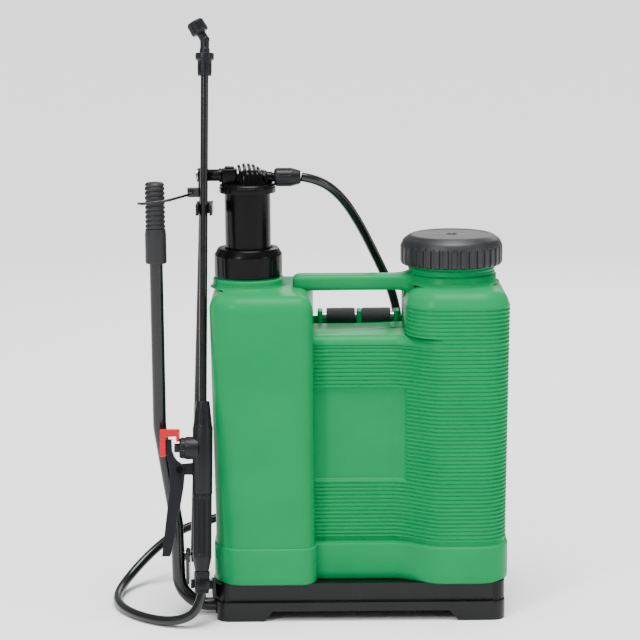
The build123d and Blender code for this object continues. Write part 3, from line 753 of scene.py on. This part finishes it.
while z < RIGHT_TOP - COLUMN_CROWN:
    rows.append(at_height(ribbed_row(plan_column, z, column_ribs), z, RIGHT_TOP))
    z += step
for a in quarter_turn(STEPS):
    height = mix(z, RIGHT_TOP, math.sin(a))
    inset = (RIGHT_TOP - z) * (1 - math.cos(a))
    ribs_left = [w * (rib(height) - RIB_DEPTH) - inset for w in column_ribs]
    rows.append(at_height(push_out(plan_column, ribs_left), height, RIGHT_TOP))
THREADS = [(56.2 if k % 4 in (1, 2) else 55.0, 441 + k * 1.1) for k in range(15)]
rows += neck_rows(plan_column, FILLER_X, [
    (62, 428.8), (59.5, 430.5), (58, 432.5), (58, 439), (56.8, 440)] + THREADS + [
    (55, 457.4), (54.2, 458), (53.2, 458), (52.5, 457), (52.5, 406), (57, 404), (57, 352)])
tank_shell.loft(rows)

handle_ends = [(-86, 0.45), (-85, 0.7), (-82.5, 0.88), (-79, 0.97), (-74, 1.0), (-20, 0.98), (20, 0.98),
               (44, 0.98), (52, 1.02), (58, 1.12), (64, 1.3), (70, 1.6)]
handle_rows = []
for x, grow in handle_ends:
    ring = box_ring((-14, 14), (-10.5, 10.5), 0, 7)
    handle_rows.append([Vector((x, -6 + p.x * grow, 429.5 + p.y * grow)) for p in ring])
tank_shell.loft(handle_rows)
LUG = 7
for x in (-51.0, 1.0, 50.5):
    add_block(tank_shell, (x - LUG / 2, x + LUG / 2), (50, 74), (350, 381), 3, 2)
add_block(tank_shell, (-66, 60), (73.5, 76), (350, 370.5), 1, 0.8)
tank = tank_shell.done("tank_shell", GREEN, sharp=55)
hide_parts("tank_left", "tank_middle", "tank_right", "tank_handle", "strap_bar_lugs")


# ---- Turned and moulded pieces of the pump and the filler
def grooves(count, depth, low, high, width=0.45, run_out=2.0):
    """Carves upright grooves round a piece between two heights."""
    def carve(radius, height, angle):
        share = smooth((height - low) / run_out) * smooth((high - height) / run_out)
        turn = abs((angle * count / TURN) % 1 - 0.5) * 2
        return radius - depth * share * smooth((width - turn) / 0.22 + 0.5)
    return carve


def rings_of(pitch, depth, low, high):
    """Carves rings round a piece between two heights."""
    def carve(radius, height, angle):
        if not low < height < high:
            return radius
        return radius - depth * (0.5 + 0.5 * math.cos(TURN * (height - low) / pitch)) ** 2
    return carve


def outside(carve, inner):
    """Keeps the carving to points further out than a radius."""
    return lambda radius, height, angle: carve(radius, height, angle) if radius > inner else radius


pump = upright(PUMP_X)
ring_nut = turned(
    "ring_nut_shell",
    [(41.3, 438), (43.8, 438), (43.8, 466), (39, 474.5), (30.3, 474.5), (30.3, 470), (36, 468), (36, 457),
     (41.3, 457)],
    pump, BLACK, segments=288, carve=outside(grooves(12, 0.6, 440, 465, 0.05), 42.5), radius=1.2, step=2.0,
    stands_for=["ring_nut"],
)

filler = upright(FILLER_X)
filler_cap = turned(
    "filler_cap_shell",
    [(57, 452), (64.5, 452), (66, 456), (66, 476), (62, 484), (54, 489.5), (50, 490.5), (46, 489),
     (40, 488.6), (6.1, 490), (6.1, 483), (46, 482), (46, 463), (57, 463)],
    filler, CAP, body="filler_cap", segments=432,
    carve=outside(grooves(36, 2.4, 451, 478, 0.4, 3.0), 60), radius=2.2, step=1.6,
    stands_for=["filler_cap"],
)

chamber = Shell()
add_turned(chamber, rounded([(0, 546), (36.4, 546), (36.4, 553), (35.4, 553.6), (35.4, 554.6), (36.2, 555.2),
                             (34.6, 557), (30, 558), (0, 558)], 0.7), pump, 96)
dome_rings = []
for a in quarter_turn(6):
    inset = 9 * (1 - math.cos(a))
    dome_rings.append(box_ring((-152 + inset * 0.4, -119 - inset * 0.2), (-15 + inset, 15 - inset),
                               mix(557, 574, math.sin(a)), 6 - inset * 0.4))
chamber.loft(dome_rings)
FIN_Z = 560
for x, top, lean in zip((-154.0, -147.8, -141.6, -135.6, -129.8, -123.6), (581.5, 583, 583, 582, 579, 575),
                        (4.0, 4.5, 5.0, 5.5, 6.0, 6.0)):
    fin = []
    for k in range(11):
        a = math.radians(180 * k / 10)
        y = 16 * math.cos(a)
        rise = math.sin(a) ** 0.7 * (top - FIN_Z)
        fin.append((y, FIN_Z + rise, lean * (1 - math.sin(a))))
    section = [[Vector((x + offset + skew, y, z)) for y, z, skew in fin] for offset in (-1.7, -1.0, 1.0, 1.7)]
    for ring_index in (0, 3):
        whole = section[ring_index]
        section[ring_index] = [Vector((p.x, p.y * 0.96, FIN_Z + (p.z - FIN_Z) * 0.97)) for p in whole]
    chamber.loft(section)
add_block(chamber, (-176, -156), (-9, 9), (556, 576.5), 3, 2)
add_block(chamber, (-172, -159.5), (-6, 6), (574, 579.3), 2.5, 1.6)
add_block(chamber, (-159, -151), (-6, 6), (556, 570), 2, 1)
add_turned(chamber, rounded([(0, -2), (9, -2), (9, 1), (7.3, 2), (7.3, 8), (6, 9), (6, 23), (0, 23)], 0.6),
           along_x(-119.5, 0, 565), 48)
chamber_cap = chamber.done("chamber_cap_shell", BLACK, body="air_chamber")
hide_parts("air_chamber_cap")

hose_nut = turned(
    "upper_hose_nut_shell",
    [(7.5, 0), (9.3, 0), (12, 3), (12, 22), (8.5, 34), (0, 34), (0, 13.2), (7.5, 13.2)],
    along_x(-108.5, 0, 565), VALVE, body="air_chamber", segments=160,
    carve=outside(grooves(10, 1.2, 4, 21, 0.3), 8), radius=0.9, step=1.5, stands_for=["upper_hose_nut"],
)

# ---- Lever grip
lever_grip = turned(
    "lever_grip_shell",
    [(8.5, 463), (13.5, 463), (13.5, 500), (12.7, 506), (12.7, 563), (10, 566), (0, 566), (0, 560),
     (8.5, 560)],
    upright(-258.0, -56.0), RUBBER, body="lever", segments=72,
    carve=outside(rings_of(6.0, 1.5, 507, 563), 10.5), radius=1.5, step=0.8, stands_for=["lever_grip"],
)

# ---- Lance pieces
lance_axis = (LANCE_HEAD - LANCE_FOOT).normalized()
lance = place(LANCE_FOOT, (1, 0, 0), lance_axis)
lance_x, lance_y = lance.col[0].xyz, lance.col[1].xyz
boss = place(lance @ Vector((0, 0, PLUNGER_S)), lance_axis, -lance_x)
nozzle_axis = Matrix.Rotation(-NOZZLE_TILT, 3, lance_y) @ lance_axis
nozzle = place(lance @ Vector((0, 0, BEND_S)), lance_y, nozzle_axis)
LANCE_PARTS = [
    ("lower_hose_nut", [(0, 0), (8.9, 0), (10.1, 24), (10.1, 28), (0, 28)], lance,
     outside(grooves(10, 0.9, 3, 24, 0.3), 5), "root"),
    ("lance_grip", [(0, 28), (8.6, 28), (9.7, 33), (12.2, 46), (12.2, 127), (0, 127)], lance,
     outside(grooves(12, 1.0, 48, 124, 0.4, 4), 9), "root"),
    ("valve_top_nut", [(5.1, 212), (12.4, 212), (11.6, 218), (11.4, 220), (8.6, 245), (5.1, 245)], lance,
     outside(grooves(20, 0.7, 212, 236, 0.4), 7.5), "root"),
    ("lance_top_nut", [(5.1, 660), (8.8, 660), (9.2, 666), (9.2, 679), (12, 681), (12, 688.8), (5.1, 688.8)],
     lance, outside(grooves(20, 0.7, 661, 677, 0.4), 7.5), "root"),
    ("valve_boss_cap", [(6.2, 21.5), (13.5, 21.5), (13.5, 27), (12, 29.4), (6.2, 29.4)], boss,
     outside(grooves(24, 0.7, 21, 27.5, 0.4, 1), 11), "root"),
    ("nozzle_cap", [(5.9, 10), (10.6, 10), (11.6, 12), (11.2, 25), (9.5, 27), (1.2, 27), (1.2, 24.1),
                    (4.8, 24.1), (4.8, 12.2), (5.9, 12.2)], nozzle,
     outside(grooves(18, 0.9, 11, 25, 0.45), 8), "nozzle"),
]
for name, outline, where, carve, body in LANCE_PARTS:
    made = turned(f"{name}_shell", outline, where, VALVE, body=body, segments=240, carve=carve, radius=0.7,
                  step=1.5, stands_for=[name])

# ---- Straps
STRAP_X, PAD_X, SPLAY = 23.5, 31.0, math.radians(28)
WEB_WIDTH, WEB_THICK = 38.0, 2.4
BAR_CENTRE = Vector((62, 372.5))                  # (y, z)
ROLL_STEPS, ROLL_START, ROLL_END = 34, 740, 60    # the strap's turns round the bar, in degrees
PAD_HALF_WIDTH, PAD_HALF_THICK, PAD_HEM = 28.5, 5.9, 23.5
QUILT_PITCH, PAD_SIDES = 18, 40


def flat_section(width, thick):
    """A webbing's section, rounded at its two selvedges, with a shallow hollow beside each."""
    points = []
    half, t = width / 2, thick / 2
    top = [(-half, 0.25), (-half + 0.5, 0.85), (-half + 1.2, 1.0), (-half + 2.2, 0.8), (-half + 3.2, 1.0)]
    upper = top + [(-x, k) for x, k in reversed(top)]
    points += [(x, t * k) for x, k in upper]
    points += [(x, -t * k) for x, k in reversed(upper)]
    return points


def fillet_path(points, cut, steps=5):
    """A line of 2-D points with its inner corners rounded."""
    line = [Vector(points[0])]
    for before, here, after in zip(points, points[1:], points[2:]):
        here = Vector(here)
        back, onward = Vector(before) - here, Vector(after) - here
        a = here + back.normalized() * min(cut, back.length * 0.45)
        b = here + onward.normalized() * min(cut, onward.length * 0.45)
        for k in range(steps + 1):
            t = k / steps
            line.append(a * (1 - t) ** 2 + here * 2 * t * (1 - t) + b * t * t)
    line.append(Vector(points[-1]))
    return line


def path_length(points):
    return sum((b - a).length for a, b in zip(points, points[1:]))


for side, word in ((-1, "left"), (1, "right")):
    shell = Shell()
    line = []
    for k in range(ROLL_STEPS + 1):
        angle = math.radians(mix(ROLL_START, ROLL_END, k / ROLL_STEPS))
        radius = mix(6.9, 9.5, k / ROLL_STEPS)
        line.append(BAR_CENTRE + Vector((math.cos(angle), math.sin(angle))) * radius)
    line += fillet_path([(75.5, 375.2), (92, 365.5), (112, 322), (122, 262)], 10)
    path = [Vector((side * STRAP_X, p.x, p.y)) for p in line]
    swept(shell, path, flat_section(WEB_WIDTH, WEB_THICK), up=Vector((1, 0, 0)).cross(path[1] - path[0]))
    strap = shell.done(f"strap_upper_{word}", WEBBING)
    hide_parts(f"strap_loop_{word}", f"strap_web_upper_{word}")

    shell = Shell()
    origin = Vector((side * STRAP_X, 0, 165))
    down = Vector((-side * math.sin(SPLAY), 0, math.cos(SPLAY)))
    line = fillet_path([(125, -7), (120, -70), (105.5, -139)], 30)
    path = [origin + Vector((0, p.x, 0)) + down * p.y for p in line]
    swept(shell, path, flat_section(WEB_WIDTH, WEB_THICK), up=Vector((0, 1, 0)))
    lower = shell.done(f"strap_lower_{word}", WEBBING)
    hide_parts(f"strap_web_lower_{word}")

    line = fillet_path([(123, 250), (128, 212), (125.5, 177)], 20, 14)
    count = len(line)
    shell = Shell()
    rings = []
    total = path_length(line)
    run = 0.0
    for i, p in enumerate(line):
        run += (p - line[i - 1]).length if i else 0.0
        share = run / total
        ends = min(share, 1 - share) * total
        grow = min(1.0, 0.35 + 0.65 * math.sqrt(min(ends / 9, 1)))
        quilt = 1 - 0.22 * max(0, 1 - abs((run % QUILT_PITCH) - QUILT_PITCH / 2) / 1.8)
        ahead = (line[min(i + 1, count - 1)] - line[max(i - 1, 0)]).normalized()
        out = Vector((ahead.y, -ahead.x))
        ring = []
        for k in range(PAD_SIDES):
            a = TURN * k / PAD_SIDES
            ca, sa = math.cos(a), math.sin(a)
            wide = math.copysign(abs(ca) ** 0.35, ca) * PAD_HALF_WIDTH * (0.9 + 0.1 * grow)
            edge = 1 - 0.35 * max(0, 1 - abs(abs(wide) - PAD_HEM) / 1.6)
            thick = math.copysign(abs(sa) ** 0.75, sa) * PAD_HALF_THICK * grow * quilt * edge
            ring.append(Vector((side * PAD_X + wide, p.x - out.x * thick, p.y - out.y * thick)))
        rings.append(ring)
    shell.loft(rings)
    pad = shell.done(f"shoulder_pad_shell_{word}", PAD_CLOTH, sharp=60)
    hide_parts(f"shoulder_pad_{word}")
